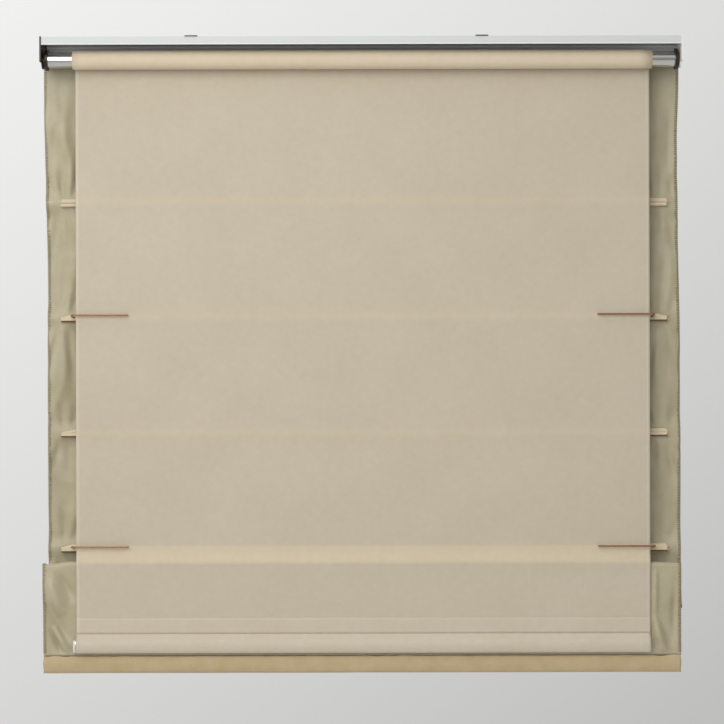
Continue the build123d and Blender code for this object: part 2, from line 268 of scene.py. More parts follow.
world = bpy.data.worlds.new("pale_surround")
bpy.context.scene.world = world
world.use_nodes = True
surround = world.node_tree.nodes["Background"]
surround.inputs["Color"].default_value = linear("f6f6f5")
bright_side = (-0.50, 0.16, 0.66)
way = add(world.node_tree, "ShaderNodeTexCoord")
toward = add(world.node_tree, "ShaderNodeVectorMath", {0: way.outputs["Generated"], 1: bright_side},
             operation="DOT_PRODUCT")
level = add(world.node_tree, "ShaderNodeMapRange",
            {"Value": toward.outputs["Value"], "From Min": -0.3, "From Max": 0.4, "To Min": 0.3,
             "To Max": 1.0})
world.node_tree.links.new(level.outputs["Result"], surround.inputs["Strength"])


def soft_light(name, place, target, size, power, tint):
    """A square area light that points at target."""
    data = bpy.data.lights.new(name, "AREA")
    data.size = size
    data.energy = power
    data.color = linear(tint)[:3]
    light = bpy.data.objects.new(name, data)
    place, target = np.array(place), np.array(target)
    aim = target - place
    light.location = place
    light.rotation_euler = (math.atan2(math.hypot(aim[0], aim[1]), -aim[2]), 0.0,
                            math.atan2(aim[1], aim[0]) - math.pi / 2)
    bpy.context.scene.collection.objects.link(light)
    return light


soft_light("key_light", (-0.62, -1.80, 0.36), (0.0, 0.0, -0.40), 1.6, 21.5, "fffdf9")
soft_light("room_side_light", (1.4, 2.6, 0.9), (0.0, 0.0, -0.5), 1.6, 22.0, "fffdf9")

# %% [markdown]
# ## Materials of the hard pieces
# Each finish starts from what the real thing is made of and how its surface was made. Patterns use Object
# coordinates, so their scale is in real millimetres: a noise scale of 1 / (size in metres) gives marks of
# that size.

# %% The shared start of every material
def start_material(name, color, roughness, metallic=0.0):
    """A Principled material with its plain values set, and the tree and shader to build on."""
    material = bpy.data.materials.new(name)
    material.use_nodes = True
    tree = material.node_tree
    shader = tree.nodes["Principled BSDF"]
    shader.inputs["Base Color"].default_value = linear(color)
    shader.inputs["Roughness"].default_value = roughness
    shader.inputs["Metallic"].default_value = metallic
    return material, tree, shader


def grained(name, color, shade, roughness, grain, stretch=(1.0, 1.0, 1.0), metallic=0.0, height=0.02 * mm,
            spread=0.08):
    """A hard finish: two close tones, a slightly varied roughness and a fine relief. grain is in metres."""
    material, tree, shader = start_material(name, color, roughness, metallic)
    place = add(tree, "ShaderNodeTexCoord")
    fitted = add(tree, "ShaderNodeMapping", {"Vector": place.outputs["Object"], "Scale": stretch})
    grain_noise = add(tree, "ShaderNodeTexNoise",
                      {"Vector": fitted.outputs["Vector"], "Scale": 1 / grain, "Detail": 4.0})
    tone = add(tree, "ShaderNodeMix",
               {"Factor": grain_noise.outputs["Fac"], 6: linear(color), 7: linear(shade)}, data_type="RGBA")
    wear = add(tree, "ShaderNodeMapRange",
               {"Value": grain_noise.outputs["Fac"], "To Min": roughness - spread,
                "To Max": roughness + spread})
    relief = add(tree, "ShaderNodeBump",
                 {"Height": grain_noise.outputs["Fac"], "Strength": 0.6, "Distance": height})
    tree.links.new(tone.outputs[2], shader.inputs["Base Color"])
    tree.links.new(wear.outputs["Result"], shader.inputs["Roughness"])
    tree.links.new(relief.outputs["Normal"], shader.inputs["Normal"])
    return material


def paint_lip_highlight(material):
    """A painted highlight: a whiter line on the rail's lower lip, since so small a bead shines little here.
    """
    tree = material.node_tree
    shader = tree.nodes["Principled BSDF"]
    place = add(tree, "ShaderNodeTexCoord")
    axes = add(tree, "ShaderNodeSeparateXYZ", {"Vector": place.outputs["Object"]})
    low = add(tree, "ShaderNodeMapRange",
              {"Value": axes.outputs["Z"], "From Min": lip_top, "From Max": lip_top - 0.3 * mm})
    front = add(tree, "ShaderNodeMapRange",
                {"Value": axes.outputs["Y"], "From Min": rail_front + 4 * mm,
                 "From Max": rail_front + 3 * mm})
    both = add(tree, "ShaderNodeMath", {0: low.outputs["Result"], 1: front.outputs["Result"]},
               operation="MULTIPLY")
    plain = shader.inputs["Base Color"].links[0].from_socket
    mixed = add(tree, "ShaderNodeMix", {"Factor": both.outputs[0], 6: plain, 7: linear("f6f6f4")},
                data_type="RGBA")
    tree.links.new(mixed.outputs[2], shader.inputs["Base Color"])


# %% Metals and paints
# Powder coat on extruded aluminium: pale grey, satin, with the slight orange peel of baked powder.
rail_paint = grained("powder_coated_aluminium", "d3d6d7", "cbcecf", 0.5, 1.6 * mm)
# The rail's lower lip gets a painted highlight: a whiter line.
paint_lip_highlight(rail_paint)
# Painted steel plate: a whiter, smoother paint than the rail's.
plate_paint = grained("painted_steel_plate", "efefec", "e6e6e2", 0.3, 2.5 * mm)
# The left plate: a dark, slightly glossy, metallic copy of the plate finish, which is painted shade for the
# shade it stands in.
painted_shade_plate = grained("blackened_steel_plate", "2a2421", "3a302a", 0.34, 2.5 * mm, metallic=0.6)
# Zinc plate with a dark passivation: dull, dark and a little blotchy.
plated_steel = grained("dark_zinc_plated_steel", "3c3a38", "4b4845", 0.42, 3.0 * mm, metallic=0.85)
# Oil-tempered spring wire: dark blue-brown and glossy.
spring_steel = grained("oil_tempered_spring_steel", "54504c", "444045", 0.3, 2.0 * mm, metallic=1.0)
# Drawn aluminium tube, bright: the draw lines run along the tube, so the grain is stretched along X.
tube_aluminium = grained("bright_drawn_aluminium", "d2d1cf", "c3c2c0", 0.15, 0.8 * mm, (0.012, 1.0, 1.0),
                         1.0, 0.01 * mm, 0.05)
# Mill-finish aluminium flat bar: duller, with rolling marks along it.
bar_aluminium = grained("mill_finish_aluminium", "c3c2c0", "b2b1af", 0.38, 1.2 * mm, (0.02, 1.0, 1.0), 1.0)
# Turned brass bush: warm yellow, with fine turning marks round it.
bush_brass = grained("turned_brass", "b98a48", "9a6c33", 0.34, 1.5 * mm, (4.0, 0.5, 0.5), 1.0)
print("metals ready")

# %% Plastics, coats and tapes
# Moulded nylon: black, with a fine spark-eroded texture that keeps it from looking like glass.
plug_plastic = grained("moulded_black_nylon", "0c0b0b", "141313", 0.4, 0.9 * mm)
# Moulded ABS end cap: white and slightly glossy.
cap_plastic = grained("moulded_white_abs", "dedad0", "d4d0c5", 0.32, 1.1 * mm)
# Pultruded fibreglass rod, with glass strands along it, seen at the open ends of the sleeves: made dark
# brown so those shadowed ends read dark, which is painted shade.
rod_fibreglass = grained("pultruded_fibreglass", "5b4030", "463024", 0.4, 0.7 * mm, (0.015, 1.0, 1.0))
# Copper-coloured lacquer over wire: a warm metallic film with tiny flakes.
guide_coat = grained("copper_lacquered_wire", "b58c70", "85604a", 0.24, 0.5 * mm, metallic=0.85)
# Double-sided adhesive strip: milky film with small trapped bubbles.
adhesive_strip = grained("double_sided_adhesive_film", "dcd6c3", "cfc8b2", 0.28, 2.0 * mm)
# Hook-and-loop tape: nylon pile that scatters light, drawn at 0.9 mm a tuft.
tape_fabric = grained("hook_and_loop_tape", "cfc8b6", "a8a08c", 0.85, 0.9 * mm, height=0.5 * mm)
print("plastics ready")

# %% Finish for each CAD node
finishes = {
    "head_rail": rail_paint, "end_plate_left": painted_shade_plate, "end_plate_right": plate_paint,
    "end_plate_screws": plated_steel, "ceiling_clip_left": plated_steel, "ceiling_clip_right": plated_steel,
    "idle_pin": plated_steel, "spring_shaft": plated_steel, "spring_anchor": plug_plastic,
    "lift_spring": spring_steel, "roller_tube": tube_aluminium, "end_plug_left": plug_plastic,
    "end_plug_right": plug_plastic, "bearing_bush_left": bush_brass, "bearing_bush_right": bush_brass,
    "roll_tape": adhesive_strip, "bottom_bar": bar_aluminium, "bottom_bar_cap_left": cap_plastic,
    "bottom_bar_cap_right": cap_plastic, "hem_bar": bar_aluminium, "rail_hook_tape": tape_fabric,
    "panel_loop_tape": tape_fabric, "bar_hook_tape": tape_fabric, "bar_loop_tape": tape_fabric,
}
for row in rod_rows:
    finishes[f"rod_{row}"] = rod_fibreglass
for row in (2, 4):
    for side in ("left", "right"):
        finishes[f"guide_{side}_{row}"] = guide_coat
for node_name, material in finishes.items():
    slots = frame["nodes"][node_name].data.materials
    slots.clear()
    slots.append(material)
print(len(finishes), "CAD nodes finished")

# %% [markdown]
# ## Materials of the cloths
# Cloth patterns follow the piece's own UV map, which holds the flat cloth in metres, so that threads run
# with the cloth round every fold. Real threads here are 0.2 to 0.5 mm apart, finer than a picture can
# show, so each weave is drawn coarser, as a comment says, and its relief stays low.

# %% A woven cloth
# A wave texture at scale 1 repeats every 0.314 units, so this over the thread spacing is the scale it needs.
wave_length = 0.314


def woven(name, color, shade, roughness, thread, height, sheen, slub, mottling, blotch, along=(),
          stripe=None):
    """Two crossing sets of threads, spaced thread apart and as uneven as slub, with mottling of size blotch.

    along is a list of (place on V, colour) where the tone changes down the cloth. stripe is (middle, half
    width, colour), for a lighter line along both cut edges."""
    material, tree, shader = start_material(name, color, roughness)
    place = add(tree, "ShaderNodeUVMap", uv_map="cloth")
    axes = add(tree, "ShaderNodeSeparateXYZ", {"Vector": place.outputs["UV"]})
    base = linear(color)
    if along:
        low, high = along[0][0], along[-1][0]
        at = add(tree, "ShaderNodeMapRange", {"Value": axes.outputs["Y"], "From Min": low, "From Max": high})
        ramp = add(tree, "ShaderNodeValToRGB", {"Fac": at.outputs["Result"]})
        stops = ramp.color_ramp.elements
        while len(stops) < len(along):
            stops.new(1.0)
        for stop, (v, code) in zip(stops, along):
            stop.position = (v - low) / (high - low)
            stop.color = linear(code)
        base = ramp.outputs["Color"]
    if stripe:
        off = add(tree, "ShaderNodeMath", {0: axes.outputs["X"], 1: stripe[0]}, operation="SUBTRACT")
        out = add(tree, "ShaderNodeMath", {0: off.outputs[0]}, operation="ABSOLUTE")
        near = add(tree, "ShaderNodeMapRange",
                   {"Value": out.outputs[0], "From Min": stripe[1] - 5.5 * mm,
                    "From Max": stripe[1] - 3.5 * mm, "To Max": 0.28})
        edged = add(tree, "ShaderNodeMix",
                    {"Factor": near.outputs["Result"], 6: base, 7: linear(stripe[2])}, data_type="RGBA")
        base = edged.outputs[2]
    spread = add(tree, "ShaderNodeTexNoise",
                 {"Vector": place.outputs["UV"], "Scale": 1 / (14 * thread), "Detail": 3.0})
    lines = []
    for direction in ("X", "Y"):
        wave = add(tree, "ShaderNodeTexWave",
                   {"Vector": place.outputs["UV"], "Scale": wave_length / thread, "Distortion": slub,
                    "Detail": 2.0, "Detail Scale": 1.5}, wave_type="BANDS", bands_direction=direction)
        lines.append(wave.outputs["Fac"])
    weave = add(tree, "ShaderNodeMath", {0: lines[0], 1: lines[1]}, operation="MAXIMUM")
    blotches = add(tree, "ShaderNodeTexNoise",
                   {"Vector": place.outputs["UV"], "Scale": 1 / blotch, "Detail": 4.0})
    mixed = add(tree, "ShaderNodeMath", {0: weave.outputs[0], 1: spread.outputs["Fac"]},
                operation="MULTIPLY")
    shading = add(tree, "ShaderNodeMapRange", {"Value": mixed.outputs[0], "From Max": 0.7, "To Max": 0.5})
    drift = add(tree, "ShaderNodeMapRange",
                {"Value": blotches.outputs["Fac"], "From Min": 0.3, "From Max": 0.7, "To Max": mottling})
    amount = add(tree, "ShaderNodeMath", {0: shading.outputs["Result"], 1: drift.outputs["Result"]},
                 operation="ADD", use_clamp=True)
    tone = add(tree, "ShaderNodeMix", {"Factor": amount.outputs[0], 6: base, 7: linear(shade)},
               data_type="RGBA", blend_type="MULTIPLY")
    relief = add(tree, "ShaderNodeBump", {"Height": weave.outputs[0], "Strength": 0.5, "Distance": height})
    tree.links.new(tone.outputs[2], shader.inputs["Base Color"])
    tree.links.new(relief.outputs["Normal"], shader.inputs["Normal"])
    shader.inputs["Sheen Weight"].default_value = sheen
    shader.inputs["Sheen Roughness"].default_value = 0.4
    return material


def bands(low, high, plain, spots):
    """Tones down a cloth from low to high: plain, but for spots of (start, end, soft edge, colour)."""
    stops = [(low, plain)]
    for start, end, edge, code in spots:
        stops += [(start - edge, plain), (start + edge, code), (end - edge, code), (end + edge, plain)]
    return stops + [(high, plain)]


# Polyester sateen lining, olive: its long floats give a soft gloss that shows every fold. Threads drawn
# at 1.0 mm.
lining_sateen = woven("polyester_sateen", "b9b199", "e3dfce", 0.42, 1.0 * mm, 0.03 * mm, 0.25, 1.0, 0.5,
                      40 * mm)
# Linen-look face cloth, tan: uneven yarns in a plain weave, matt. Threads drawn at 1.4 mm.
face_linen = woven("slub_linen", "c3b18f", "dcd2bd", 0.85, 1.4 * mm, 0.12 * mm, 0.15, 3.5, 0.25, 45 * mm)
# Coated polyester backing sheet, cream: close weave, filled and flat. Over the crest and the three upper
# sleeves it is lighter and warmer: partly what lies against the thin sheet showing through, and partly
# painted light for the light on the ridges they raise in it. Where it is doubled above the pocket it is
# a little paler. Its cut edges are a little paler. Threads drawn at 0.9 mm.
sheet_plain, sheet_lit_over_crest, sheet_lit_over_sleeve, sheet_doubled = "c6bcaa", "d3c5ad", "cabfab", "cbc1b0"
sheet_bands = [(pocket_top, ply_top, 0.5 * mm, sheet_doubled),
               (crest_top, rod_z[4] + sleeve_rise, 1.5 * mm, sheet_lit_over_crest)]
for row in (3, 2, 1):
    sheet_bands.append((rod_z[row], rod_z[row] + sleeve_rise, 3 * mm, sheet_lit_over_sleeve))
sheet_edges = ((sheet_low.x + sheet_high.x) / 2, (sheet_high.x - sheet_low.x) / 2, "e4dccb")
coated_weave = ("ebe7de", 0.62, 0.9 * mm, 0.02 * mm, 0.1, 0.8, 0.2, 90 * mm)
sheet_polyester = woven("coated_polyester", sheet_plain, *coated_weave, stripe=sheet_edges,
                        along=bands(pocket_top - 5 * mm, sheet_top, sheet_plain, sheet_bands))
# The same sheet where it is double round the bar: less shows through.
doubled_polyester = woven("doubled_polyester", sheet_doubled, *coated_weave)
# The same sheet wound many turns deep on the tube: opaque, and so lighter and warmer.
wound_polyester = woven("wound_polyester", "dbccb5", *coated_weave)
# Sleeve tape, cream, in a looser weave than the sheet, with a brown line of painted shade along it: in
# the crease on the top row, and under the rod on the others. Threads drawn at 0.8 mm.
tape_cream, painted_shade_brown = "dccfb5", "765539"
painted_shade_places = {row: (0.5 * mm, 4.2 * mm) for row in rod_rows}
painted_shade_places[1] = (7.6 * mm, 9.4 * mm)
sleeve_tapes = {}
for row in rod_rows:
    # The brown band of painted shade on this row's tape.
    seam = (*painted_shade_places[row], 0.5 * mm, painted_shade_brown)
    sleeve_tapes[row] = woven(f"woven_sleeve_tape_{row}", tape_cream, "e8e0d0", 0.7, 0.8 * mm, 0.06 * mm,
                              0.15, 1.5, 0.4, 20 * mm, along=bands(0.0, 40 * mm, tape_cream, [seam]))
# Spun polyester thread: drab olive, slightly fuzzy.
thread_polyester = grained("spun_polyester_thread", "8f815c", "6b5f42", 0.7, 0.4 * mm)
print("cloths ready")

# %% [markdown]
# ## How the panel's cloth runs
# The outer panel is two plies: a tan face cloth towards the room and an olive lining towards the window.
# From the rail it hangs straight down past the rods. Its last pleat is gathered, so it turns up at a low
# bend, over a crest and down to the hem: a Z seen from the side. Both plies follow one centre line, and
# the lining lies to its window side. It could be simulated, but a cloth that is pinned at four rods is
# easier to keep clear of them when each fold is placed one by one.

# %% The panel's centre line
main_length = panel_top - bend_z
bend_length = math.pi * bend_radius
rise_length = crest_z - bend_z
crest_length = math.pi * crest_radius
fall_length = crest_z - hem_top
marks = np.cumsum([0.0, main_length, bend_length, rise_length, crest_length, fall_length])
print("panel cloth, rail to hem:", round(marks[-1], 4), "m")


def centre_line(s):
    """y and z of the face cloth at distance s from its top, and the way in y in which its folds stand."""
    y, z = np.full_like(s, main_y), panel_top - s
    way = np.full_like(s, -1.0)
    part = (s > marks[1]) & (s <= marks[2])
    turn = (s[part] - marks[1]) / bend_radius
    y[part], z[part] = main_y - bend_radius + bend_radius * np.cos(turn), bend_z - bend_radius * np.sin(turn)
    way[part] = -np.cos(turn)
    part = (s > marks[2]) & (s <= marks[3])
    y[part], z[part] = rise_y, bend_z + s[part] - marks[2]
    way[part] = 1.0
    part = (s > marks[3]) & (s <= marks[4])
    turn = (s[part] - marks[3]) / crest_radius
    y[part] = rise_y - crest_radius + crest_radius * np.cos(turn)
    z[part] = crest_z + crest_radius * np.sin(turn)
    way[part] = np.cos(turn)
    part = s > marks[4]
    y[part], z[part] = fall_y, crest_z - (s[part] - marks[4])
    return y, z, way


def ease(value, low, high):
    """0 below low, 1 above high, and smooth between."""
    t = np.clip((value - low) / (high - low), 0.0, 1.0)
    return t * t * (3 - 2 * t)


# %% [markdown]
# ## Folds
# A crease is a long low ridge that fades at both ends. Cloth pulled from a rod's end makes a fan of them
# above and below it. Between the fans lies a gentle swell. Each is a formula of the place on the panel,
# with fixed seeds.

# %% One crease, a fan of creases, and a swell
def crease(x, z, start, end, width, height):
    """A ridge from start to end, towards the window if height is positive."""
    run = np.array(end) - np.array(start)
    length = math.hypot(*run)
    along = ((x - start[0]) * run[0] + (z - start[1]) * run[1]) / length ** 2
    across = ((x - start[0]) * run[1] - (z - start[1]) * run[0]) / length
    fade = np.sin(math.pi * np.clip(along, 0.0, 1.0))
    return height * np.exp(-(across / (width * (0.6 + 0.7 * np.clip(along, 0, 1)))) ** 2) * fade


def fan(x, z, root, way, count, reach, height, seed):
    """Creases that spread from a rod's end, upwards if way is 1 and downwards if it is -1."""
    draw = np.random.default_rng(seed)
    total = np.zeros_like(x)
    for number in range(count):
        lean = (number - (count - 1) / 2) * 0.33 + draw.uniform(-0.1, 0.1)
        length = reach * draw.uniform(0.7, 1.2)
        start = (root[0] + 0.012 * (number - (count - 1) / 2), root[1] + way * 5 * mm)
        end = (start[0] + length * math.sin(lean), start[1] + way * length * math.cos(lean))
        total += crease(x, z, start, end, draw.uniform(5.0, 8.0) * mm, height * draw.uniform(0.6, 1.1))
    return total


def swell(x, z, wide, tall, seed):
    """A smooth field of about -1 to 1: seeded waves in many directions, wide and tall metres long."""
    draw = np.random.default_rng(seed)
    total = np.zeros_like(x)
    waves = 14
    for _ in range(waves):
        angle, phase = draw.uniform(0, 2 * math.pi, 2)
        pace = 2 * math.pi * draw.uniform(0.5, 1.6)
        total += np.sin(pace * (math.cos(angle) * x / wide + math.sin(angle) * z / tall) + phase)
    return total / math.sqrt(waves)


# %% Height of the folds on the two layers that show
def main_folds(x, z):
    """How far the hanging layer stands to the window side (mostly less than 0: it bellies to the room).

    It is held flat at the rail and at each rod."""
    outer = ease(np.abs(x), 0.30, 0.47)
    total = swell(x, z, 0.085, 0.26, 3) * (0.5 + 2.0 * outer) * mm
    total += swell(x, z, 0.035, 0.10, 4) * 0.8 * outer * mm
    for row in rod_rows:
        for side, strength in ((-1, 1.0), (1, 0.62)):
            root = (side * 0.474, rod_z[row])
            total += fan(x, z, root, -1, 4, 0.085, -3.6 * strength * mm, 10 * row + side)
            total += fan(x, z, root, 1, 3, 0.065, -3.2 * strength * mm, 50 + 10 * row + side)
    total += crease(x, z, (0.489, -0.10), (0.487, -0.25), 6 * mm, -2.4 * mm)
    total += crease(x, z, (-0.494, -0.06), (-0.455, -0.26), 13 * mm, 1.8 * mm)
    hold = ease(panel_top - z, 0.03, 0.12) * ease(z - bend_z, 0.0, 0.03)
    for row in rod_rows:
        above = z - rod_z[row]
        hold = hold * (1 - np.exp(-((above - 3.5 * mm) / (11 * mm)) ** 2) * 0.97)
    belly = np.maximum(3.0 * mm - 1.5 * total, -0.4 * mm)
    deepest = 9.5 * mm
    return -deepest * np.tanh(belly / deepest) * hold


def flap_folds(x, z):
    """The same for the layer that falls from the crest to the hem, where the slack gathers at both ends.

    Folds towards the window stay beside the sheet, so that the bottom bar's pocket can pass."""
    total = swell(x, z, 0.07, 0.12, 5) * 0.5 * mm * ease(np.abs(x), 0.40, 0.46)
    for start, end, width, height in (
        ((-0.497, -0.845), (-0.470, -0.905), 9, 3.2), ((-0.486, -0.830), (-0.452, -0.885), 8, -2.6),
        ((-0.500, -0.880), (-0.462, -0.950), 10, -3.0), ((-0.494, -0.925), (-0.470, -0.972), 4.5, -3.4),
        ((-0.488, -0.918), (-0.462, -0.968), 5, 3.4), ((0.462, -0.826), (0.4565, -0.925), 5, 3.6),
        ((0.457, -0.900), (0.479, -0.975), 7, 3.0), ((0.472, -0.905), (0.486, -0.970), 8, -1.8),
        ((0.493, -0.850), (0.489, -0.960), 6, -2.0),
    ):
        total += crease(x, z, start, end, width * mm, height * mm)
    folds = 2.3 * total * ease(z - hem_top, 0.0, 0.012) * ease(crest_z + 0.004 - z, 0.0, 0.02)
    beside_sheet = np.maximum(x - sheet_high.x, sheet_low.x - x)
    return np.where(folds > 0, folds * ease(beside_sheet, 3.5 * mm, 9 * mm), folds)


def crest_push(z):
    """How far the crest pushes itself and the backing sheet towards the window."""
    below = np.clip((crest_top - z) / (crest_top - ply_top), 0.0, 1.0)
    return 2.4 * mm * np.where(z > crest_top, 1 - ease(z - crest_top, 0.0, 0.02), 1 - below ** 0.6)


print("deepest push of the crest:", round(float(crest_push(np.array([-0.823])).max()) / mm, 1), "mm")


# %% Side edges, and the whole panel surface
# Each edge is given as distances down the cloth and its x there.
left_edge = ((0.05, 0.45, 0.88, 0.97, 1.12), (-0.5035, -0.4985, -0.4985, -0.504, -0.5028))
right_edge = ((0.05, 0.17, 0.55, 0.88, 0.97), (0.5030, 0.5008, 0.505, 0.5055, 0.5020))


def edge_line(s, ends, values):
    """A smooth line through a few values at the given distances."""
    result = np.full_like(s, values[0])
    for low, high, before, after in zip(ends, ends[1:], values, values[1:]):
        result += (after - before) * ease(s, low, high)
    return result


def panel_surface(u, s):
    """Points of the face ply. u runs 0 to 1 across and s down."""
    u, s = np.meshgrid(u, s)
    left, right = edge_line(s, *left_edge), edge_line(s, *right_edge)
    x = left + (right - left) * u
    y, z, way = centre_line(s)
    hanging = ease(marks[1] - s, 0.0, 0.01)
    falling = ease(s, marks[4] - 0.004, marks[4] + 0.004)
    folds = main_folds(x, z) * hanging + flap_folds(x, z) * falling
    y = y + way * folds
    y = y - 0.45 * crest_push(z) * ease(s, marks[3] - 0.01, marks[4])
    over = ease(s, marks[3] - 0.03, marks[3]) * ease(marks[4] + 0.03 - s, 0.0, 0.03)
    bump = 3.0 * mm * np.exp(-((x + 0.458) / 0.02) ** 2)
    droop = 1.5 * mm * ease(np.abs(x), 0.46, 0.5)
    z = z + over * (bump - droop)
    flat = np.stack([u * 1.0, -s], -1)
    return np.stack([x, y, z], -1), flat


# %% [markdown]
# ## Lining and face cloth
# Each ply is a grid of points on that surface, given its real thickness and closed at its cut edges. The
# grid is finer at the sides, where the lining shows beside the backing sheet, and round the two tight
# bends.

# %% Two plies
def steps(ends, sizes):
    """Values from the first end to the last, with about the given step in each stretch."""
    parts = [np.linspace(low, high, max(2, math.ceil((high - low) / size)), endpoint=False)
             for low, high, size in zip(ends, ends[1:], sizes)]
    return np.concatenate(parts + [[ends[-1]]])


fine_rows = steps(list(marks), (4.2 * mm, 1.3 * mm, 5 * mm, 1.1 * mm, 3.0 * mm))
panel_columns = steps((0.0, 0.06, 0.94, 1.0), (0.0030, 0.0085, 0.0030))
face_surface, panel_flat = panel_surface(panel_columns, fine_rows)
lining_surface = face_surface + normals(face_surface) * ply_gap
lining = cloth_piece("lining_cloth", [shell(lining_surface, lining_cloth, panel_flat)])
lining.data.materials.append(lining_sateen)
face = cloth_piece("face_cloth", [shell(face_surface, face_cloth, panel_flat)])
face.data.materials.append(face_linen)


def gather_panel(piece):
    """Give a piece on the panel its own copy of its mesh."""
    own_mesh(piece)


# %% [markdown]
# ## Hem
# The face cloth goes round the hem bar on the room side, comes up on the window side and is sewn down
# over the lining's end. Its top edge is a little wavy, because the stitching pulls it, and its ends are
# left open, so the bar's ends can be seen inside. It rides with the bars, since nothing in it stretches.

# %% Hem cloth
hem_bar_low, hem_bar_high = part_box("hem_bar")
hem_y = (hem_bar_low.y + hem_bar_high.y) / 2
hem_z = (hem_bar_low.z + hem_bar_high.z) / 2
hem_half = ((hem_bar_high.y - hem_bar_low.y) / 2 + 0.7 * mm, (hem_bar_high.z - hem_bar_low.z) / 2 + 0.7 * mm)


def hem_surface():
    """Points round the hem bar: down the room side, under, up the window side and over the lining's end."""
    x = steps((-0.5028, -0.44, 0.44, 0.5015), (0.0035, 0.008, 0.0035))
    turn = np.linspace(0.0, math.radians(337), 46)
    x, turn = np.meshgrid(x, turn)
    last = ease(turn, math.radians(290), math.radians(337))
    outer = ease(np.abs(x), 0.40, 0.47)
    pucker = swell(x, turn * 0.004, 0.035, 0.2, 8)
    drape = swell(x, turn * hem_half[1], 0.10, 0.03, 9)
    fat = 1 + 0.05 * drape * np.sin(turn) ** 2
    y = hem_y + hem_half[0] * fat * np.sin(turn) + (0.3 * mm) * pucker * last
    z = hem_z + hem_half[1] * np.cos(turn) * (1 + 0.006 * drape)
    z = z + last * (1.1 * mm + (0.35 + 0.5 * outer) * mm * pucker)
    loose = ease(np.abs(x), 0.488, 0.502)
    y = y - 0.8 * mm * loose * np.sin(turn) * 0.5
    x = x + np.sign(x) * loose * 0.35 * mm * np.sin(4 * turn + 1)
    flat = np.stack([x, -turn * hem_half[1]], -1)
    return np.stack([x, y, z], -1), flat


hem_points, hem_flat = hem_surface()
hem = cloth_piece("hem_cloth", [shell(hem_points[::-1], face_cloth, hem_flat[::-1])])
hem.data.materials.append(face_linen)

# %% [markdown]
# ## Backing sheet
# One smooth cream sheet hangs from the roller. The crest of the last pleat pushes it forward a little. Its
# lower end is turned up to the window side and welded: the ply's cut edge shows as a fine line above the
# pocket of the bottom bar.

# %% The hanging sheet and its turned-up ply
sheet_left, sheet_right = sheet_low.x, sheet_high.x
sheet_columns = steps((sheet_left, sheet_left + 0.03, sheet_right - 0.03, sheet_right),
                      (0.004, 0.014, 0.004))


def sheet_surface(z, gap):
    """Points of the sheet at the heights z, gap in front of its own line."""
    x, z = np.meshgrid(sheet_columns, z)
    y = sheet_y - crest_push(z) - gap
    near_rods = sum(np.exp(-((z - rod_z[row] - 3 * mm) / (7 * mm)) ** 2) for row in (1, 2, 3))
    y = y - near_rods * 0.7 * mm
    free = ease(sheet_top - z, 0.02, 0.12) * ease(z - pocket_top, 0.0, 0.1)
    y = y + swell(x, z, 0.5, 0.35, 12) * 0.5 * mm * free
    flat = np.stack([x, z], -1)
    return np.stack([x, y, z], -1), flat


hanging_rows = -steps((-sheet_top, 0.76, 0.84, -pocket_top), (0.009, 0.0025, 0.004))
hanging, hanging_flat = sheet_surface(hanging_rows, 0.0)
ply_rows = -steps((-ply_top, -pocket_top), (0.004,))
ply, ply_flat = sheet_surface(ply_rows, ply_lift)
backing = cloth_piece("backing_sheet", [shell(hanging, sheet_cloth, hanging_flat),
                                        shell(ply, sheet_cloth, ply_flat)])
backing.data.materials.append(sheet_polyester)

# %% [markdown]
# ## Pocket of the bottom bar
# Below the weld the two plies part and go round the bar, so the pocket is a drop shape: flared at the
# top, round at the bottom, and straight down the back. Its ends are open, and on the left the bar's white
# cap stands out.

# %% Pocket
bar_low, bar_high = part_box("bottom_bar")
bar_y, bar_z = (bar_low.y + bar_high.y) / 2, (bar_low.z + bar_high.z) / 2
pocket_half = ((bar_high.y - bar_low.y) / 2 + 0.5 * mm, (bar_high.z - bar_low.z) / 2 + 0.5 * mm)


def pocket_surface():
    """Points round the pocket: down the front from the weld, under the bar and up the back."""
    flare = [(sheet_y - ply_lift, pocket_top), (sheet_y - ply_lift, pocket_top - 5 * mm),
             (bar_y - pocket_half[0], bar_z + 11.7 * mm), (bar_y - pocket_half[0], bar_z)]
    t = np.linspace(0, 1, 14, endpoint=False)[:, None]
    front = sum(math.comb(3, k) * t ** k * (1 - t) ** (3 - k) * np.array(flare[k]) for k in range(4))
    turn = np.linspace(0, math.pi, 22, endpoint=False)
    under = np.stack([bar_y - pocket_half[0] * np.cos(turn), bar_z - pocket_half[1] * np.sin(turn)], -1)
    up = np.stack([np.full(8, sheet_y), np.linspace(bar_z, pocket_top, 8)], -1)
    up[0, 0] = bar_y + pocket_half[0]
    outline = np.concatenate([front, under, up])
    run = np.concatenate([[0], np.cumsum(np.linalg.norm(np.diff(outline, axis=0), axis=1))])
    x, row = np.meshgrid(sheet_columns, np.arange(len(outline)))
    loose = ease(run, 0.0, 8 * mm) * ease(run[-1] - run, 0.0, 8 * mm)
    y = outline[row, 0] + 0.25 * mm * swell(x, run[row], 0.12, 0.05, 15) * loose[row]
    return np.stack([x, y, outline[row, 1]], -1), np.stack([x, pocket_top - run[row]], -1), run[-1]


pocket_points, pocket_flat, pocket_run = pocket_surface()
pocket = cloth_piece("bottom_bar_pocket", [shell(pocket_points, sheet_cloth, pocket_flat)])
pocket.data.materials.append(doubled_polyester)
print("cloth round the pocket:", round(pocket_run / mm, 1), "mm")

# %% [markdown]
# ## Roll
# The rest of the sheet is wound on the tube. A plain cylinder would show no turns at its ends, so the
# roll is one strip that follows a spiral: it comes in at the room side, where the sheet leaves, and winds
# inwards.

# %% Wound sheet
roll_radius = (roll_high.y - roll_low.y) / 2
tube_low, tube_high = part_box("roller_tube")
tube_radius = (tube_high.y - tube_low.y) / 2
turns = 6
strip = (roll_radius - tube_radius) / turns


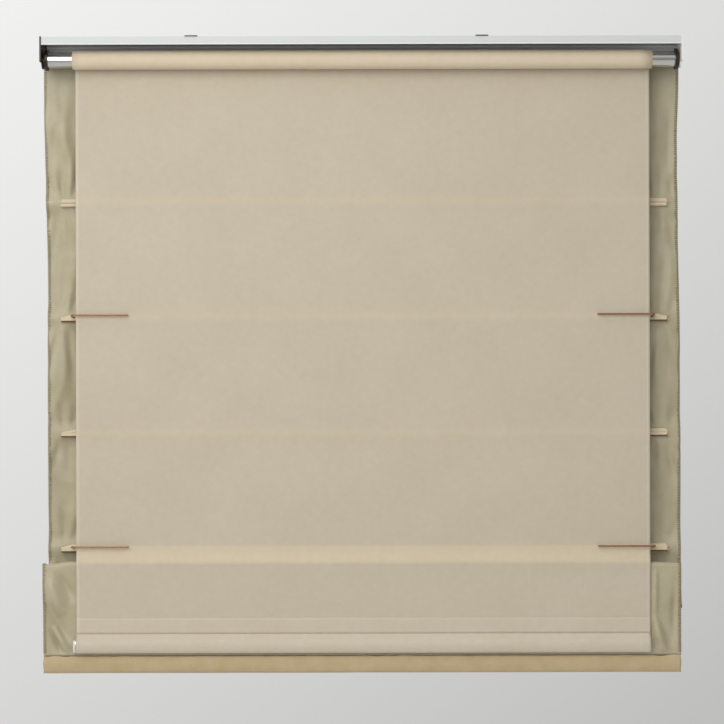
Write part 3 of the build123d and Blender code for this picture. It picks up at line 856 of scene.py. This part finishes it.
def roll_surface():
    """Points of the wound strip, from where the sheet leaves to where it is stuck to the tube."""
    angle = np.linspace(0, 2 * math.pi * (turns - 0.15), turns * 60)
    x, angle = np.meshgrid(steps((roll_low.x, roll_high.x), (0.02,)), angle)
    radius = roll_radius - strip / 2 - strip * angle / (2 * math.pi)
    loose = ease(radius, tube_radius, roll_radius)
    radius = radius + 0.06 * mm * swell(x, angle * radius, 0.3, 0.2, 17) * loose
    y = roller_y + radius * np.cos(angle)
    z = roller_z + radius * np.sin(angle)
    return np.stack([x, y, z], -1), np.stack([x, angle * roll_radius], -1)


roll_points, roll_flat = roll_surface()
roll = cloth_piece("wound_sheet", [shell(roll_points[:, ::-1], strip * 0.86, roll_flat[:, ::-1])])
roll.data.materials.append(wound_polyester)

# %% [markdown]
# ## Rod sleeves
# Each rod lies in a sewn tape sleeve. Under it the tape is round, above it the tape is pressed flat to
# its seam, with a crease between. On rows 2 and 4 the wire guide lies in the upper part too and comes out
# through a slit, so there the sleeve stays full and runs out in a wedge.

# %% Sleeves
def loop_through(points, count):
    """A smooth closed line through a few points (Catmull-Rom)."""
    points = np.array(points)
    whole = len(points)
    t = np.linspace(0, whole, count, endpoint=False)
    k = t.astype(int)
    f = (t - k)[:, None]
    a, b, c, d = (points[(k + shift) % whole] for shift in (-1, 0, 1, 2))
    bend, twist = 2 * a - 5 * b + 4 * c - d, 3 * b - a - 3 * c + d
    return 0.5 * (2 * b + (c - a) * f + bend * f ** 2 + twist * f ** 3)


# Outlines round the rod's axis, y and z in millimetres, and each sleeve's run-out at its left and right end.
under_rod, back_of_rod = [(0.0, -2.7), (-2.5, -1.7), (-3.0, 0.2)], [(3.0, 4.5), (3.0, -0.3), (1.9, -2.2)]
pressed = [*under_rod, (-2.3, 2.3), (-0.2, 3.3), (-0.6, 6.2), (0.9, 9.5), (2.5, 9.3), *back_of_rod]
full = [*under_rod, (-2.85, 2.4), (-2.95, 4.6), (-2.3, 7.2), (0.6, 9.4), (2.5, 9.2), *back_of_rod]
taper = {1: (3, 4), 2: (19, 22), 3: (26, 6), 4: (20, 7)}
rod_crown = 2.6 * mm


def sleeve_piece(row):
    """The sleeve of one rod, with open ends."""
    low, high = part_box(f"rod_sleeve_{row}")
    x = steps((low.x, low.x + 0.045, high.x - 0.045, high.x), (0.0015, 0.012, 0.0015))
    outline = loop_through(full if row in (2, 4) else pressed, 40) * mm
    outline = np.concatenate([outline, outline[:1]])
    run = np.concatenate([[0], np.cumsum(np.linalg.norm(np.diff(outline, axis=0), axis=1))])
    across, row_index = np.meshgrid(x, np.arange(len(outline)))
    y, z = outline[row_index, 0], outline[row_index, 1]
    left, right = taper[row]
    height = 0.42 + 0.58 * ease(across - low.x, 0.0, left * mm) * ease(high.x - across, 0.0, right * mm)
    z = np.where(z > rod_crown, rod_crown + (z - rod_crown) * height, z)
    sag = 0.25 * mm * swell(across, np.zeros_like(across), 0.15, 1.0, 20 + row)
    slant = np.clip((rod_crown - y) / (5.6 * mm), 0.0, 1.0) * ease(across, high.x - 0.012, high.x)
    points = np.stack([across - 3.6 * mm * slant, rod_y + y, rod_z[row] + z + sag * (z > rod_crown)], -1)
    flat = np.stack([across, run[row_index]], -1)
    wall = shell(points[:, ::-1], 0.4 * mm, flat[:, ::-1], closed=True)
    piece = cloth_piece(f"rod_sleeve_cloth_{row}", [wall], closed=True)
    piece.data.materials.append(sleeve_tapes[row])
    return piece


sleeves = {row: sleeve_piece(row) for row in rod_rows}

# %% [markdown]
# ## Overlock stitches
# Both plies are overlocked together along their sides: a thread goes round the edge every 3 mm. That
# repeats along a line, so Geometry Nodes make it: a loop of thread is set on points along the cloth's own
# edge and turned to follow it. The result is then kept as a plain mesh, which moves with the cloth.

# %% The stitch tree
def stitch_tree():
    """Loops of thread along a line. Each input is a real size in metres."""
    tree = bpy.data.node_groups.new("overlock_stitches", "GeometryNodeTree")
    tree.interface.new_socket("Geometry", in_out="INPUT", socket_type="NodeSocketGeometry")
    for name in ("Pitch", "Bite", "Wrap", "Thread radius", "Inward shift"):
        tree.interface.new_socket(name, in_out="INPUT", socket_type="NodeSocketFloat")
    tree.interface.new_socket("Seed", in_out="INPUT", socket_type="NodeSocketInt")
    tree.interface.new_socket("Thread", in_out="INPUT", socket_type="NodeSocketMaterial")
    tree.interface.new_socket("Geometry", in_out="OUTPUT", socket_type="NodeSocketGeometry")
    given = add(tree, "NodeGroupInput").outputs
    line = add(tree, "GeometryNodeMeshToCurve", {"Mesh": given["Geometry"]})
    spaced = add(tree, "GeometryNodeResampleCurve",
                 {"Curve": line.outputs["Curve"], "Length": given["Pitch"]}, mode="LENGTH")
    box = add(tree, "GeometryNodeCurvePrimitiveQuadrilateral",
              {"Width": given["Bite"], "Height": given["Wrap"]})
    corner = add(tree, "ShaderNodeMath", {0: given["Wrap"], 1: 0.45}, operation="MULTIPLY")
    rounded = add(tree, "GeometryNodeFilletCurve", {"Curve": box.outputs["Curve"], "Count": 2,
                                                    "Radius": corner.outputs[0]}, mode="POLY")
    shift = add(tree, "ShaderNodeCombineXYZ", {"X": given["Inward shift"]})
    placed = add(tree, "GeometryNodeTransform", {"Geometry": rounded.outputs["Curve"],
                                                 "Translation": shift.outputs["Vector"]})
    section = add(tree, "GeometryNodeCurvePrimitiveCircle",
                  {"Resolution": 4, "Radius": given["Thread radius"]})
    loop = add(tree, "GeometryNodeCurveToMesh", {"Curve": placed.outputs["Geometry"],
                                                 "Profile Curve": section.outputs["Curve"]})
    tangent = add(tree, "GeometryNodeInputTangent")
    facing = add(tree, "FunctionNodeAlignRotationToVector", {"Vector": tangent.outputs["Tangent"]}, axis="Z",
                 pivot_axis="X")
    tilt = add(tree, "FunctionNodeRandomValue", {0: (-0.05, -0.16, -0.05), 1: (0.05, 0.16, 0.05),
                                                 "Seed": given["Seed"]}, data_type="FLOAT_VECTOR")
    tilt_turn = add(tree, "FunctionNodeEulerToRotation", {0: tilt.outputs["Value"]})
    turned = add(tree, "FunctionNodeRotateRotation", {"Rotation": facing.outputs["Rotation"],
                                                      "Rotate By": tilt_turn.outputs["Rotation"]},
                 rotation_space="LOCAL")
    loops = add(tree, "GeometryNodeInstanceOnPoints", {"Points": spaced.outputs["Curve"],
                                                       "Instance": loop.outputs["Mesh"],
                                                       "Rotation": turned.outputs["Rotation"]})
    real = add(tree, "GeometryNodeRealizeInstances", {"Geometry": loops.outputs["Instances"]})
    dressed = add(tree, "GeometryNodeSetMaterial",
                  {"Geometry": real.outputs["Geometry"], "Material": given["Thread"]})
    add(tree, "NodeGroupOutput", {"Geometry": dressed.outputs["Geometry"]})
    return tree


overlock = stitch_tree()
print("stitch inputs:", [item.name for item in overlock.interface.items_tree if item.in_out == "INPUT"])


# %% Stitches along both sides
def sewn_line(name, line, tree, values):
    """Run a stitch tree along a line of points and keep its mesh."""
    mesh = bpy.data.meshes.new(name)
    mesh.from_pydata([tuple(p) for p in line], [(k, k + 1) for k in range(len(line) - 1)], [])
    piece = bpy.data.objects.new(name, mesh)
    modifier = piece.modifiers.new("stitches", "NODES")
    modifier.node_group = tree
    for item in tree.interface.items_tree:
        if item.in_out == "INPUT" and item.name in values:
            modifier[item.identifier] = values[item.name]
    bpy.context.scene.collection.objects.link(piece)
    graph = bpy.context.evaluated_depsgraph_get()
    made = bpy.data.meshes.new_from_object(piece.evaluated_get(graph))
    piece.modifiers.clear()
    piece.data = made
    print(f"{name}: {len(made.polygons)} faces")
    return piece


bite = 5.0 * mm
stitches = []
for side, column, inward in (("left", 0, 1), ("right", -1, -1)):
    edge = (lining_surface[:, column] + face_surface[:, column]) / 2
    values = {"Pitch": 3.1 * mm, "Bite": bite, "Wrap": 2.7 * mm, "Thread radius": 0.48 * mm,
              "Inward shift": inward * (bite / 2 - 0.6 * mm), "Seed": 5, "Thread": thread_polyester}
    stitches.append(sewn_line(f"overlock_{side}", edge[2:-2], overlock, values))

# %% [markdown]
# ## Tying the pieces to the frame
# Every cloth now rides on a body: the panel and sheet on the rail, the hem, pocket and sleeves on their own
# bodies, and the roll turns with the tube. The panel pieces and the sheet get their own copies of their
# meshes, and the CAD solids that the cloths replace are hidden.

# %% Bodies, own meshes and hidden CAD solids
panel_pieces = [lining, face, *stitches]
for piece in panel_pieces:
    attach(piece, "rail")
    gather_panel(piece)
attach(backing, "rail")
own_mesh(backing)
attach(hem, "bottom")
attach(pocket, "bottom")
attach(roll, "roller")
for row, piece in sleeves.items():
    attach(piece, f"row_{row}")
    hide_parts(f"rod_sleeve_{row}")
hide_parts("lining_panel")
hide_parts("face_panel")
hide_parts("back_sheet")
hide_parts("sheet_roll")
made = sorted(o.name for o in bpy.data.objects if o.type == "MESH" and "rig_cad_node" not in o)
print("pieces made:", made)
